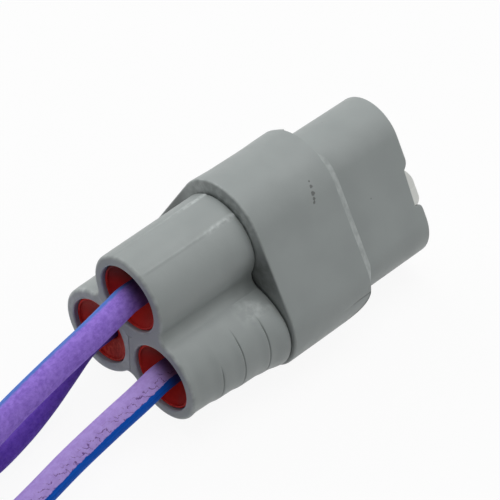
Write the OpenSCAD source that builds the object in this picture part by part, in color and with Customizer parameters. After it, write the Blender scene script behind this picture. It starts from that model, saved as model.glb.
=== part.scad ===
// Three-way sealed plug on a pigtail: a trefoil rear cap, a rounded-triangle shroud and a nose.
// Each piece is drawn standing on the rear face, with Z along the axis and lobe 1 at the top,
// and is then laid along +X, with the shroud's flat underside on Z = 0.

/* [Layout] */
// Distance of each contact from the axis
contact_offset = 6.5; // [6.3:0.1:7]
// Rise of the shroud and nose above the axis of the contacts
axis_rise = 0.4; // [0:0.1:0.6]
// Gap around a piece that slides into another
fit_gap = 0.05; // [0.02:0.01:0.08]

/* [Rear cap] */
// Length from the rear face to the shoulder
cap_len = 15.6; // [14:0.1:17]
// Radius of each seal bore
seal_bore_r = 4.7; // [4.4:0.1:4.8]
// Wall around each seal bore
tube_wall = 1.4; // [1.3:0.1:1.8]
// Radius of the valley between two tubes
valley_r = 1.5; // [1:0.1:2]
// Radius of the rounded rear edge
rear_edge_r = 0.5; // [0.3:0.1:0.9]
// Radius of the rounded shoulder edge
shoulder_edge_r = 0.3; // [0.2:0.1:0.7]
// Bevel at the mouth of each seal bore
bore_bevel = 0.25; // [0.1:0.05:0.35]
// Wall between the seal bores and the shoulder
seal_floor = 3.1; // [2:0.1:3.5]
// Length of the spigot that enters the front body
spigot_len = 3.6; // [3:0.1:5]
// Step from the tubes in to the spigot
spigot_step = 0.9; // [0.8:0.1:1.1]
// Groove between the shoulder and the shroud
cap_gap = 0.3; // [0.2:0.1:1]
// Distance of the first grip step from the rear face
grip_first = 5.1; // [4:0.1:5.5]
// Spacing of the grip steps
grip_pitch = 3.9; // [3:0.1:4.2]
// Rise of each grip step
grip_rise = 0.3; // [0.1:0.05:0.4]

/* [Shroud] */
// Length of the shroud
shroud_len = 13.7; // [13:0.1:16]
// Outer radius of the shroud's corners
shroud_corner_r = 7.6; // [7.5:0.1:8]
// Distance of the corner centres from the shroud's middle
shroud_corner_offset = 6.8; // [6.7:0.1:7.1]
// Wall of the shroud around the well
shroud_wall = 0.9; // [0.7:0.05:1]
// Depth of the well between shroud and nose
well_depth = 7; // [6:0.1:8]
// Radius of the cut-back under the front corners
corner_cut_r = 3.6; // [3:0.1:4.5]

/* [Nose] */
// Length of the nose in front of the shroud
nose_len = 13; // [12:0.1:15]
// Outer radius of the nose's corners
nose_corner_r = 5.6; // [5.5:0.1:5.7]
// Distance of the corner centres from the nose's middle
nose_corner_offset = 6.9; // [6.8:0.1:7]
// Wall around the wedge lock
nose_wall = 1.1; // [0.9:0.1:1.4]
// Width of the notch in each upper flat
notch_width = 5.6; // [3:0.1:7]
// Depth of the notch
notch_depth = 0.9; // [0.5:0.1:1.6]
// Radius of the notch's inner corners
notch_corner_r = 0.4; // [0.2:0.1:0.45]
// Shift of the notch from the middle of its flat, towards the lower lobe
notch_shift = 1.1; // [0:0.1:1.5]

/* [Latch] */
// Width of the latch finger
latch_width = 7; // [5:0.1:9]
// Reach of the latch finger in front of the cut-back
latch_reach = 7.5; // [6:0.1:9]
// Thickness of the latch finger
latch_thickness = 0.9; // [0.7:0.05:1]
// Height of the latch finger above the floor
latch_lift = 0.2; // [0.1:0.05:0.4]
// Length of the finger's root inside the shroud
latch_root = 2; // [1:0.1:3]
// Height of the hook
hook_height = 0.6; // [0.3:0.05:0.65]
// Length of the hook
hook_len = 1.6; // [1:0.1:2.5]

/* [Wedge lock] */
// Thickness of the wedge lock's plate
wedge_plate = 3.6; // [2.5:0.1:4.2]
// Distance by which the plate stands proud of the nose's rim
wedge_proud = 0.3; // [0:0.05:0.6]
// Depth of the lock's tabs below the flats of the nose
tab_sink = 0.15; // [0.05:0.05:0.4]
// Radius of the stem
wedge_stem_r = 2.5; // [2:0.1:2.8]
// Length of the stem
wedge_stem_len = 9; // [7:0.1:11]
// Radius of each pin hole
pin_hole_r = 1.2; // [1:0.05:1.4]
// Bevel at the mouth of each pin hole
pin_hole_bevel = 0.5; // [0.2:0.1:0.8]
// Length of the slot for the puller
puller_slot_len = 3.4; // [2.5:0.1:4]
// Width of the slot for the puller
puller_slot_width = 1.2; // [0.8:0.1:1.6]
// Depth of the slot for the puller
puller_slot_depth = 2; // [1:0.1:2.4]

/* [Seals] */
// Room between the deepest wire seal and the floor of its bore
wire_seal_room = 0.9; // [0.3:0.1:2]
// Distance of each wire seal from the rear face
wire_seal_inset = [0.5, 0.5, 0.3]; // [0.2:0.1:2.4]
// Depth of the grooves between a wire seal's ribs
wire_seal_groove = 0.5; // [0.2:0.1:0.8]
// Depth of the funnel in a wire seal's face
wire_seal_dish = 2.2; // [1:0.1:2.6]
// Width of the lip around a wire seal's face
wire_seal_lip = 0.6; // [0.4:0.1:0.9]
// Length of the interface seal
interface_seal_len = 3.4; // [2.5:0.1:4]
// Depth of the interface seal's seat in the nose
interface_seat = 0.8; // [0.5:0.1:1]
// Height of the interface seal's ribs above the nose
interface_rib = 0.45; // [0.3:0.05:0.55]

/* [Contacts] */
// Radius of the socket that takes the mating pin
socket_r = 0.8; // [0.6:0.05:0.9]
// Depth of the socket
socket_depth = 9.5; // [7:0.1:11]
// Distance of the socket's mouth behind the wedge lock
socket_setback = 0.8; // [0.5:0.1:1.2]
// Outer radius of the socket barrel
barrel_r = 1.25; // [1.15:0.05:1.3]
// Length of the socket barrel
barrel_len = 12.4; // [12:0.1:13.5]
// Radius of the retention collar
collar_r = 1.65; // [1.6:0.05:1.8]
// Length of the retention collar
collar_len = 1.5; // [1:0.1:2]
// Radius of the neck behind the collar
neck_r = 1.05; // [0.9:0.05:1.1]
// Length of the neck
neck_len = 4; // [3.5:0.1:4.5]
// Outer radius of the crimp barrel
crimp_r = 1.35; // [1.2:0.05:1.4]
// Length of the crimp barrel
crimp_len = 6.5; // [5.5:0.1:7]
// Radius of the bore in the crimp barrel
crimp_bore_r = 0.8; // [0.7:0.05:0.9]
// Wall at the end of the crimp bore
crimp_end = 0.7; // [0.4:0.1:1]
// Wall of the sleeve around the socket barrel
sleeve_wall = 0.15; // [0.1:0.01:0.16]
// Length of the sleeve
sleeve_len = 10; // [8:0.1:11]
// Clearance of the retention collar in its cavity
cavity_clearance = 0.15; // [0.1:0.05:0.25]
// Length of the lug that locks each contact
lug_len = 0.8; // [0.5:0.1:1.2]
// Width of the lug that locks each contact
lug_width = 1.4; // [1:0.1:1.8]

/* [Leads] */
// Diameter of each lead over its insulation
wire_d = 3.5; // [2.6:0.05:3.55]
// Bare stretch between the insulation and the crimp barrel
strip_gap = 0.3; // [0.1:0.1:0.5]

/* [Hidden] */
$fn = 64;

grey = [0.50, 0.53, 0.52];
white = [0.88, 0.89, 0.87];
red = [0.55, 0.10, 0.08];
purple = [0.46, 0.33, 0.66];
nickel = [0.72, 0.70, 0.66];
steel = [0.78, 0.79, 0.80];
copper = [0.80, 0.46, 0.28];

// Overlap by which a cutter passes through a face
over = 1;
// Reach of a valley's cutter into the tubes beside it
valley_overlap = 0.05;
lobes = [90, 210, 330];

// Stations along the axis, counted from the rear face
seal_floor_z = cap_len - seal_floor;
spigot_z = cap_len + spigot_len;
shroud_z = cap_len + cap_gap;
rim_z = shroud_z + shroud_len;
well_z = rim_z - well_depth;
cut_z = rim_z - corner_cut_r;
nose_z = rim_z + nose_len;
plate_front_z = nose_z + wedge_proud;
plate_back_z = plate_front_z - wedge_plate;
socket_front_z = plate_back_z - socket_setback;
collar_front_z = socket_front_z - barrel_len;
collar_back_z = collar_front_z - collar_len;
crimp_front_z = collar_back_z - neck_len;
crimp_back_z = crimp_front_z - crimp_len;
strip_z = crimp_back_z - strip_gap;
spigot_floor_z = spigot_z + fit_gap;

// Radii and lengths that follow from the sizes above
tube_r = seal_bore_r + tube_wall;
grip_count = 1 + floor((cap_len - shoulder_edge_r - grip_first) / grip_pitch);
cavity_r = collar_r + cavity_clearance;
sleeve_r = barrel_r + fit_gap + sleeve_wall;
barrel_cavity_r = sleeve_r + fit_gap;
wire_r = wire_d / 2;
wire_seal_hole_r = wire_r + fit_gap;
wire_seal_len = seal_floor_z - max(wire_seal_inset) - wire_seal_room;

// Valley between two tubes: half the tube pitch, and the way from its middle to the valley's centre
half_pitch = contact_offset * sin(60);
valley_reach = sqrt(pow(tube_r + valley_r, 2) - pow(half_pitch, 2));
valley_centre = contact_offset / 2 + valley_reach;

// Place of the axis in the laid frame
half_len = nose_z / 2;
axis_z = shroud_corner_r + shroud_corner_offset / 2 - axis_rise;

// Free course of each lead behind the rear face, laid loosely on the floor
free_routes = [
    [[-23.2, -0.1, 16.6], [-27, -0.2, 15.5], [-33, 0, 13.5], [-40, -0.1, 11.4], [-47, -0.5, 9.1],
        [-54, -0.9, 6.8], [-61, -1.4, 4.6], [-68, -1.9, 2.9], [-75, -2.3, 2], [-82, -2.6, 1.8],
        [-90, -2.9, 1.8], [-98, -2.9, 1.8], [-106, -2.7, 1.8], [-113, -2.4, 1.8], [-119, -2, 1.8]],
    [[-25, -5.9, 6.7], [-30, -5.9, 5.5], [-36, -6, 4], [-42, -6.5, 2.7], [-48, -7.2, 2],
        [-55, -8.1, 1.8], [-63, -9, 1.8], [-71, -9.8, 1.8], [-79, -10.4, 1.8], [-87, -10.7, 1.8],
        [-95, -10.7, 1.8], [-103, -10.4, 1.8], [-111, -9.8, 1.8], [-119.5, -8.9, 1.8]],
    [[-24, 5.7, 6.6], [-28, 5.3, 4.3], [-32, 4.6, 2.7], [-37, 3.5, 2], [-43, 2.5, 1.8],
        [-50, 2.2, 1.8], [-58, 2.6, 1.8], [-66, 3.6, 1.8], [-74, 4.9, 1.8], [-82, 6.3, 1.8],
        [-90, 7.6, 1.8], [-98, 8.6, 1.8], [-106, 9.2, 1.8], [-113, 9.4, 1.8], [-119, 9.4, 1.8]]
];
wire_sides = 8;

// Point at a radius and an angle
function polar(r, a) = [r * cos(a), r * sin(a)];

// Point on a contact's axis, in the laid frame
function on_contact(i, z) = let (p = polar(contact_offset, lobes[i]))
    [z - half_len, p[0], axis_z + p[1]];

// Whole course of a lead: straight through its seal, then free
function route(i) = concat(
    [on_contact(i, strip_z), on_contact(i, seal_floor_z / 2), on_contact(i, wire_seal_inset[i])],
    free_routes[i]);

// Direction of a route at one of its points
function unit(v) = v / norm(v);
function heading(points, k) = unit(points[min(k + 1, len(points) - 1)] - points[max(k - 1, 0)]);

// Ring of points around a route
function ring(points, k, r) =
    let (along = heading(points, k), side = unit(cross([0, 0, 1], along)), rise = cross(along, side))
    [for (j = [0:wire_sides - 1])
        points[k] + r * (side * cos(360 * j / wire_sides) + rise * sin(360 * j / wire_sides))];

// Lays a piece that was drawn standing
module laid()
    translate([-half_len, 0, axis_z]) rotate([90, 0, 90]) children();

// Repeats a shape at each contact
module at_contacts()
    for (a = lobes) translate(polar(contact_offset, a)) rotate(a) children();

// Moves a shape to one contact
module at_contact(i)
    translate(polar(contact_offset, lobes[i])) rotate(lobes[i]) children();

// Moves a shape to the middle of the shroud and nose
module risen()
    translate([0, axis_rise, 0]) children();

// Triangle with round corners
module rounded_triangle(d, r) {
    for (a = lobes) translate(polar(d, a)) circle(r);
    polygon([for (a = lobes, s = [-60, 60]) polar(d, a) + polar(r, a + s)]);
}

// Ring that follows a triangle with round corners
module triangle_ring(d, outer, inner)
    difference() {
        rounded_triangle(d, outer);
        rounded_triangle(d, inner);
    }

// Outline of the three joined tubes, stepped in from the outside
module trefoil(step) {
    for (a = lobes) translate(polar(contact_offset, a)) circle(tube_r - step);
    difference() {
        polygon([for (a = lobes) each [polar(contact_offset, a), polar(valley_centre, a + 60)]]);
        for (a = lobes) translate(polar(valley_centre, a + 60)) circle(valley_r + step + valley_overlap);
    }
}

// Material that a rounded edge at height 0 leaves out; side is 1 outside a radius and -1 inside it
module rounded_edge(r, e, side)
    difference() {
        translate([side > 0 ? r - e : r - over / 2, -over]) square([e + over / 2, e + over]);
        translate([r - side * e, e]) circle(e);
    }

// The same for both ends of the rear cap's tubes
module cap_edges(r, side) {
    rounded_edge(r, rear_edge_r, side);
    translate([0, cap_len]) mirror([0, 1]) rounded_edge(r, shoulder_edge_r, side);
}

// Three joined tubes with rounded ends and filled valleys, without their bores
module tube_cluster() {
    cutter_r = valley_r + valley_overlap;
    for (a = lobes) translate(polar(contact_offset, a)) rotate_extrude() difference() {
        square([tube_r, cap_len]);
        cap_edges(tube_r, 1);
    }
    difference() {
        linear_extrude(cap_len)
            polygon([for (a = lobes) each [polar(contact_offset, a), polar(valley_centre, a + 60)]]);
        for (a = lobes) translate(polar(valley_centre, a + 60)) rotate_extrude() {
            translate([0, -over]) square([cutter_r, cap_len + 2 * over]);
            cap_edges(cutter_r, -1);
        }
    }
}

// Stepped outer flanks of the two lower tubes, which widen towards the shoulder
module grip_steps()
    for (a = [lobes[1], lobes[2]], k = [0:grip_count - 1])
        let (z = grip_first + k * grip_pitch)
            translate(concat(polar(contact_offset + (k + 1) * grip_rise, a), z))
                cylinder(h = cap_len - z, r = tube_r);

// Rear moulding: three joined tubes that hold the wire seals, with a spigot in front
module rear_cap()
    color(grey) laid() difference() {
        union() {
            tube_cluster();
            grip_steps();
            translate([0, 0, cap_len]) linear_extrude(spigot_len) trefoil(spigot_step);
        }
        at_contacts() {
            translate([0, 0, -over]) cylinder(h = seal_floor_z + over, r = seal_bore_r);
            cylinder(h = bore_bevel, r1 = seal_bore_r + bore_bevel, r2 = seal_bore_r);
            cylinder(h = spigot_z + over, r = cavity_r);
        }
    }

// Rounded side view of the cut-back under the shroud's front corners
module cut_back_profile()
    difference() {
        translate([cut_z, -4 * shroud_corner_r]) square([corner_cut_r + over, 4 * shroud_corner_r]);
        translate([cut_z, 0]) circle(corner_cut_r);
    }

// Shroud: a block behind and a wall around the well, with the rim cut back underneath
module shroud()
    difference() {
        translate([0, 0, shroud_z]) linear_extrude(shroud_len)
            rounded_triangle(shroud_corner_offset, shroud_corner_r);
        translate([0, 0, well_z]) linear_extrude(well_depth + over)
            rounded_triangle(shroud_corner_offset, shroud_corner_r - shroud_wall);
        translate([0, -shroud_corner_offset / 2, 0]) rotate([0, -90, 0])
            linear_extrude(4 * shroud_corner_r, center = true) cut_back_profile();
    }

// Nose, with a narrower root that seats the interface seal
module nose() {
    front_z = well_z + interface_seal_len + fit_gap;
    translate([0, 0, well_z - over]) linear_extrude(front_z - well_z + 2 * over)
        rounded_triangle(nose_corner_offset, nose_corner_r - interface_seat);
    translate([0, 0, front_z]) linear_extrude(nose_z - front_z)
        rounded_triangle(nose_corner_offset, nose_corner_r);
}

// Latch finger under the nose, with a hook that faces the nose
module latch_finger() {
    floor_y = -shroud_corner_offset / 2 - shroud_corner_r;
    finger_y = floor_y + latch_lift;
    top_y = finger_y + latch_thickness;
    tip_z = cut_z + latch_reach;
    rotate([0, -90, 0]) linear_extrude(latch_width, center = true)
        polygon([[cut_z - latch_root, finger_y], [tip_z, finger_y], [tip_z, top_y],
            [tip_z - hook_len / 2, top_y + hook_height], [tip_z - hook_len, top_y + hook_height],
            [tip_z - hook_len, top_y], [cut_z - latch_root, top_y]]);
}

// Notch in one upper flat of the nose, through the wall to the wedge lock
module nose_notch() {
    inner = nose_corner_offset / 2 + nose_corner_r - nose_wall - fit_gap;
    half = notch_width / 2;
    floor_z = nose_z - notch_depth;
    translate([inner, 0, floor_z]) rotate([90, 0, 90]) linear_extrude(nose_wall + over) {
        translate([-half, notch_corner_r]) square([notch_width, notch_depth + over]);
        translate([-half + notch_corner_r, 0]) square([notch_width - 2 * notch_corner_r, notch_depth]);
        for (s = [-1, 1])
            translate([s * (half - notch_corner_r), notch_corner_r]) circle(notch_corner_r);
    }
}

// Front moulding: shroud, nose, contact cavities and latch finger in one piece
module front_body()
    color(grey) laid() {
        difference() {
            risen() union() {
                shroud();
                nose();
                latch_finger();
            }
            risen() {
                translate([0, 0, plate_back_z]) linear_extrude(wedge_plate + over)
                    rounded_triangle(nose_corner_offset, nose_corner_r - nose_wall);
                translate([0, 0, plate_back_z - wedge_stem_len - fit_gap])
                    cylinder(h = wedge_stem_len + over, r = wedge_stem_r + fit_gap);
                rotate(150) translate([0, notch_shift, 0]) nose_notch();
                rotate(30) translate([0, -notch_shift, 0]) nose_notch();
            }
            linear_extrude(spigot_floor_z) trefoil(spigot_step - fit_gap);
            at_contacts() {
                cylinder(h = collar_front_z, r = cavity_r);
                cylinder(h = plate_back_z + over, r = barrel_cavity_r);
            }
        }
        at_contacts() contact_lug();
    }

// Lug on the inner side of a cavity that stops the retention collar
module contact_lug()
    translate([-cavity_r - over / 2, -lug_width / 2, collar_back_z - fit_gap - lug_len])
        cube([cavity_r + over / 2 - neck_r - fit_gap, lug_width, lug_len]);

// Tab of the wedge lock that fills one notch and stands proud of the rim, with slanted front corners
module wedge_tab() {
    inner = nose_corner_offset / 2 + nose_corner_r - nose_wall - fit_gap;
    half = notch_width / 2 - notch_corner_r;
    high = notch_depth + wedge_proud - 2 * fit_gap;
    translate([inner - over, 0, nose_z - notch_depth + fit_gap]) rotate([90, 0, 90])
        linear_extrude(over + fit_gap + nose_wall - tab_sink)
            polygon([[-half, 0], [half, 0], [half, high / 2], [half / 2, high], [-half / 2, high],
                [-half, high / 2]]);
}

// White lock in the front of the nose: a plate with pin holes and tabs, and a stem between the cavities
module wedge_lock()
    color(white) laid() difference() {
        risen() {
            rotate(150) translate([0, notch_shift, 0]) wedge_tab();
            rotate(30) translate([0, -notch_shift, 0]) wedge_tab();
            translate([0, 0, plate_back_z]) linear_extrude(wedge_plate)
                rounded_triangle(nose_corner_offset, nose_corner_r - nose_wall - fit_gap);
            translate([0, 0, plate_back_z - wedge_stem_len])
                cylinder(h = wedge_stem_len + wedge_plate / 2, r = wedge_stem_r);
        }
        at_contacts() translate([0, 0, plate_back_z - over]) {
            cylinder(h = wedge_plate + 2 * over, r = pin_hole_r);
            translate([0, 0, over + wedge_plate - pin_hole_bevel])
                cylinder(h = pin_hole_bevel, r1 = pin_hole_r, r2 = pin_hole_r + pin_hole_bevel);
        }
        risen() translate([-puller_slot_len / 2, -puller_slot_width / 2, plate_front_z - puller_slot_depth])
            cube([puller_slot_len, puller_slot_width, puller_slot_depth + over]);
    }

// Red ring with two ribs around the root of the nose
module interface_seal() {
    rib_len = interface_seal_len / 5;
    inner = nose_corner_r - interface_seat + fit_gap;
    color(red) laid() risen() {
        translate([0, 0, well_z]) linear_extrude(interface_seal_len)
            triangle_ring(nose_corner_offset, nose_corner_r + fit_gap, inner);
        for (k = [1, 3]) translate([0, 0, well_z + k * rib_len]) linear_extrude(rib_len)
            triangle_ring(nose_corner_offset, nose_corner_r + interface_rib, nose_corner_r - fit_gap);
    }
}

// Red plug around a lead, with a funnel in its face, an outer lip and three ribs
module wire_seal(i) {
    r = seal_bore_r - fit_gap;
    valley = r - wire_seal_groove;
    pitch = wire_seal_len / 5;
    color(red) laid() at_contact(i) translate([0, 0, wire_seal_inset[i]]) difference() {
        rotate_extrude() polygon([[0, wire_seal_dish], [wire_seal_hole_r + fit_gap, wire_seal_dish],
            [r - wire_seal_lip, wire_seal_lip / 2], [r - wire_seal_lip / 2, 0], [r - wire_seal_lip / 4, 0],
            [r, wire_seal_lip / 3],
            [r, pitch], [valley, 1.3 * pitch], [valley, 1.7 * pitch], [r, 2 * pitch],
            [r, 3 * pitch], [valley, 3.3 * pitch], [valley, 3.7 * pitch], [r, 4 * pitch],
            [r, wire_seal_len], [0, wire_seal_len]]);
        translate([0, 0, -over]) cylinder(h = wire_seal_len + 2 * over, r = wire_seal_hole_r);
    }
}

// Turned contact: crimp barrel, neck, retention collar and socket barrel
module socket_contact(i)
    color(nickel) laid() at_contact(i) difference() {
        union() {
            translate([0, 0, crimp_back_z]) cylinder(h = crimp_len, r = crimp_r);
            translate([0, 0, crimp_front_z]) cylinder(h = neck_len, r = neck_r);
            translate([0, 0, collar_back_z]) cylinder(h = collar_len, r = collar_r);
            translate([0, 0, collar_front_z]) cylinder(h = barrel_len, r = barrel_r);
        }
        translate([0, 0, crimp_back_z - over]) cylinder(h = crimp_len - crimp_end + over, r = crimp_bore_r);
        translate([0, 0, socket_front_z - socket_depth]) cylinder(h = socket_depth + over, r = socket_r);
    }

// Thin sleeve that backs the socket barrel
module contact_sleeve(i)
    color(steel) laid() at_contact(i) translate([0, 0, socket_front_z - sleeve_len]) difference() {
        cylinder(h = sleeve_len, r = sleeve_r);
        translate([0, 0, -over]) cylinder(h = sleeve_len + 2 * over, r = barrel_r + fit_gap);
    }

// Stripped end of a lead in its crimp barrel
module conductor(i)
    color(copper) laid() at_contact(i) translate([0, 0, strip_z])
        cylinder(h = strip_gap + crimp_len - crimp_end - fit_gap, r = crimp_bore_r - fit_gap);

// Insulated lead, from the crimp barrel to its cut end
module wire(i) {
    points = route(i);
    last = len(points) - 1;
    sides = wire_sides;
    color(purple) polyhedron(
        points = [for (k = [0:last]) each ring(points, k, wire_r)],
        faces = concat(
            [[for (j = [0:sides - 1]) j]],
            [for (k = [0:last - 1], j = [0:sides - 1])
                [k * sides + j, (k + 1) * sides + j,
                    (k + 1) * sides + (j + 1) % sides, k * sides + (j + 1) % sides]],
            [[for (j = [sides - 1:-1:0]) last * sides + j]]));
}

front_body();
rear_cap();
wedge_lock();
interface_seal();
for (i = [0:2]) {
    wire_seal(i);
    socket_contact(i);
    contact_sleeve(i);
    conductor(i);
    wire(i);
}
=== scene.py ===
import math

import bmesh
import bpy
import numpy as np
from mathutils import Matrix


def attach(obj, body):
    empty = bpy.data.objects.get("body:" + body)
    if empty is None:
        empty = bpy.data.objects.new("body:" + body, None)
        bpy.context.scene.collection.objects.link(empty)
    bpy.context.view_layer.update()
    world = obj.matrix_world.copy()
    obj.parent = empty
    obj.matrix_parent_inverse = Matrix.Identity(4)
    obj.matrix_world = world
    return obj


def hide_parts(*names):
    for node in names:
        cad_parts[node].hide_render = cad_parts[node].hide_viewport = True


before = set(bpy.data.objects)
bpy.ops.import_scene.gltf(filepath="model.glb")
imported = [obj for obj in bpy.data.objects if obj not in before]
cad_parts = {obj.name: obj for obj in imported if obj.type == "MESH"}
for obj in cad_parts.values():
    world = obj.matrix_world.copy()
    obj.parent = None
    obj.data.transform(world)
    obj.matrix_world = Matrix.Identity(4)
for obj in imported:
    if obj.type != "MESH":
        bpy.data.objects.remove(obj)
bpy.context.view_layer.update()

scene = bpy.context.scene
print("frame loaded:", len(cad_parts), "nodes")

# Layout of the plug in millimetres: across is the model's y, up its z, along its x from the rear face
plug = dict(lobes=(90.0, 210.0, 330.0), contactOffset=6.5, axisRise=0.4, halfLength=21.3, axisHeight=10.6)
mm = 0.001
sin60 = math.sin(math.radians(60))
shroudMiddle = np.array([0, plug["axisRise"]])


def polar(radius, degrees):  # point at a radius and an angle
    turn = np.radians(degrees)
    return np.stack(np.broadcast_arrays(radius * np.cos(turn), radius * np.sin(turn)), axis=-1)


def laid(flat, along):  # (across, up) and a station along the axis, as points of the model in metres
    across, up, along = np.broadcast_arrays(flat[..., 0], flat[..., 1], along)
    return np.stack([along - plug["halfLength"], across, up + plug["axisHeight"]], axis=-1) * mm


def smoothStep(low, high, value):  # 0 at low, 1 at high, smooth between
    t = np.clip((value - low) / (high - low), 0, 1)
    return t * t * (3 - 2 * t)


def halfWave(count):  # 0 at both ends, 1 in the middle
    return np.sin(np.linspace(0, np.pi, count))


def roundSteps(radius, count=7):  # quarter round as (inset, drop) from the face to the side
    turn = np.linspace(0, np.pi / 2, count)
    return np.stack([radius * (1 - np.sin(turn)), radius * (1 - np.cos(turn))], axis=-1)


def take(facts, names):  # several values of a dictionary
    return [facts[name] for name in names.split()]


def between(a, b, stops=(0, 0.5, 1)):  # rows of points on the way from one loop to another
    return a + np.array(stops)[:, None, None] * (b - a)


def gridFaces(rows, columns, closeRows=False, closeColumns=True):  # quads between neighbours of a grid
    spans = np.arange(rows - (not closeRows)), np.arange(columns - (not closeColumns))
    i, j = np.meshgrid(*spans, indexing="ij")
    k, m = (i + 1) % rows, (j + 1) % columns
    corners = (i, j), (i, m), (k, m), (k, j)
    return np.stack([row * columns + column for row, column in corners], axis=-1).reshape(-1, 4)


def gridPatch(points, wearAndPaintedLight=0.0, closeRows=False, closeColumns=True):  # one grid of points with its quads
    rows, columns = points.shape[:2]
    wornAndPaintedLight = np.broadcast_to(np.asarray(wearAndPaintedLight, float), (rows, columns)).ravel()
    return points.reshape(-1, 3), gridFaces(rows, columns, closeRows, closeColumns), wornAndPaintedLight


def weld(patches, grain=2e-8, shift=0.31):  # joins patches, merges equal points and drops faces without area
    counts = np.cumsum([0] + [len(p[0]) for p in patches])
    points = np.concatenate([p[0] for p in patches])
    quads = np.concatenate([p[1] + n for p, n in zip(patches, counts)])
    wearAndPaintedLight = np.concatenate([p[2] for p in patches])
    keys = np.round(points / grain + shift).astype(np.int64)  # the shift keeps round figures off the ties
    first, back = np.unique(keys, axis=0, return_index=True, return_inverse=True)[1:]
    back = back.ravel()
    merged = np.full(len(first), -1.0)
    np.maximum.at(merged, back, wearAndPaintedLight)
    quads = back[quads]
    same = quads == np.roll(quads, -1, axis=1)
    plain = (quads[:, 0] != quads[:, 2]) & (quads[:, 1] != quads[:, 3])
    whole = quads[plain & (same.sum(axis=1) == 0)]
    pinched = plain & (same.sum(axis=1) == 1)
    triangles = quads[pinched][~same[pinched]].reshape(-1, 3)
    return points[first], whole, triangles, merged


def dressNode(name, mesh, node, sharp, merge=0.0):  # smooth object at the origin that stands for a node
    shape = bmesh.new()
    shape.from_mesh(mesh)
    if merge:
        bmesh.ops.remove_doubles(shape, verts=shape.verts, dist=merge)
    bmesh.ops.recalc_face_normals(shape, faces=shape.faces)
    loose = sum(not e.is_manifold for e in shape.edges)
    shape.to_mesh(mesh)
    shape.free()
    mesh.shade_smooth()
    mesh.set_sharp_from_angle(angle=math.radians(sharp))
    piece = bpy.data.objects.new(name, mesh)
    scene.collection.objects.link(piece)
    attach(piece, "root")
    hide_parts(node)
    print(f"{name}: {len(mesh.vertices)} points, {len(mesh.polygons)} faces, {loose} open edges")
    return piece


def newPiece(name, patches, material, node, sharp=32.0):  # welded patches with their wear and their painted light and shade
    points, quads, triangles, wearAndPaintedLight = weld(patches)
    mesh = bpy.data.meshes.new(name)
    mesh.from_pydata(points.tolist(), [], quads.tolist() + triangles.tolist())
    mesh.materials.append(material)
    dressNode(name, mesh, node, sharp)
    mesh.attributes.new("wearAndPaintedLight", "FLOAT", "POINT").data.foreach_set("value", wearAndPaintedLight.astype(np.float32))


def placed(axes, place):  # transform with the given axes as columns
    return Matrix([[*row, p] for row, p in zip(np.stack(axes, axis=1), place)] + [[0, 0, 0, 1]])


# Camera at the photograph's viewing angle
photoView = dict(azimuth=-44.459, elevation=44.329, roll=0.433, distance=283.26, aimHeight=10.6,
                 focalPixels=2200.0, frameWidth=500.0, aimPixel=(251.9, 253.5), sensorWidth=36.0,
                 clipStart=0.01)


def makeCamera(v):
    a, e, r = np.radians([v["azimuth"], v["elevation"], v["roll"]])
    back = np.array([np.sin(a) * np.cos(e), -np.cos(a) * np.cos(e), np.sin(e)])
    right = np.array([np.cos(a), np.sin(a), 0])
    up = np.cross(back, right)
    right, up = right * np.cos(r) + up * np.sin(r), up * np.cos(r) - right * np.sin(r)
    data = bpy.data.cameras.new("photoCamera")
    data.sensor_width = v["sensorWidth"]
    data.lens = v["focalPixels"] / v["frameWidth"] * v["sensorWidth"]
    data.shift_x = 0.5 - v["aimPixel"][0] / v["frameWidth"]
    data.shift_y = v["aimPixel"][1] / v["frameWidth"] - 0.5
    data.clip_start = v["clipStart"]
    data.dof.use_dof = False
    camera = bpy.data.objects.new("photoCamera", data)
    place = (np.array([0, 0, v["aimHeight"]]) + back * v["distance"]) * mm
    camera.matrix_world = placed([right, up, back], place)
    scene.collection.objects.link(camera)
    scene.camera = camera


makeCamera(photoView)
print("camera set")


def newMaterial(name):
    material = bpy.data.materials.new(name)
    material.use_nodes = True
    tree = material.node_tree
    return material, tree, tree.nodes["Principled BSDF"]


def addNode(tree, kind, settings=None, **sockets):  # a node with its settings, and sockets by name or _number
    made = tree.nodes.new(kind)
    for key, value in (settings or {}).items():
        setattr(made, key, value)
    for key, value in sockets.items():
        socket = made.inputs[int(key[1:]) if key[0] == "_" else key]
        if isinstance(value, bpy.types.NodeSocket):
            tree.links.new(value, socket)
        else:
            socket.default_value = value
    return made


def objectPoint(tree):
    return addNode(tree, "ShaderNodeTexCoord").outputs["Object"]


def wearAndPaintedLightOf(tree):
    return addNode(tree, "ShaderNodeAttribute", dict(attribute_name="wearAndPaintedLight")).outputs["Fac"]


def mathOf(tree, operation, a, b=0.0):
    return addNode(tree, "ShaderNodeMath", dict(operation=operation), _0=a, _1=b).outputs[0]


def times(tree, product, *factors):
    for factor in factors:
        product = mathOf(tree, "MULTIPLY", product, factor)
    return product


def positive(tree, value):
    return mathOf(tree, "MAXIMUM", value, 0.0)


def mixColour(tree, factor, a, b):
    return addNode(tree, "ShaderNodeMix", dict(data_type="RGBA"), _0=factor, _6=a, _7=b).outputs[2]


def noiseOf(tree, where, scale, detail=3.0, roughness=0.55):
    return addNode(tree, "ShaderNodeTexNoise", Vector=where, Scale=scale, Detail=detail,
                   Roughness=roughness).outputs["Fac"]


def rangeOf(tree, value, low, high, toLow=0.0, toHigh=1.0):  # smooth step from low to high
    return addNode(tree, "ShaderNodeMapRange", dict(interpolation_type="SMOOTHSTEP"), _0=value, _1=low,
                   _2=high, _3=toLow, _4=toHigh).outputs[0]


def bumpOf(tree, height, strength, depth, normal=None):  # depth in millimetres
    made = addNode(tree, "ShaderNodeBump", Strength=strength, Distance=depth * mm, Height=height)
    if normal is not None:
        tree.links.new(normal, made.inputs["Normal"])
    return made.outputs["Normal"]


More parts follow.
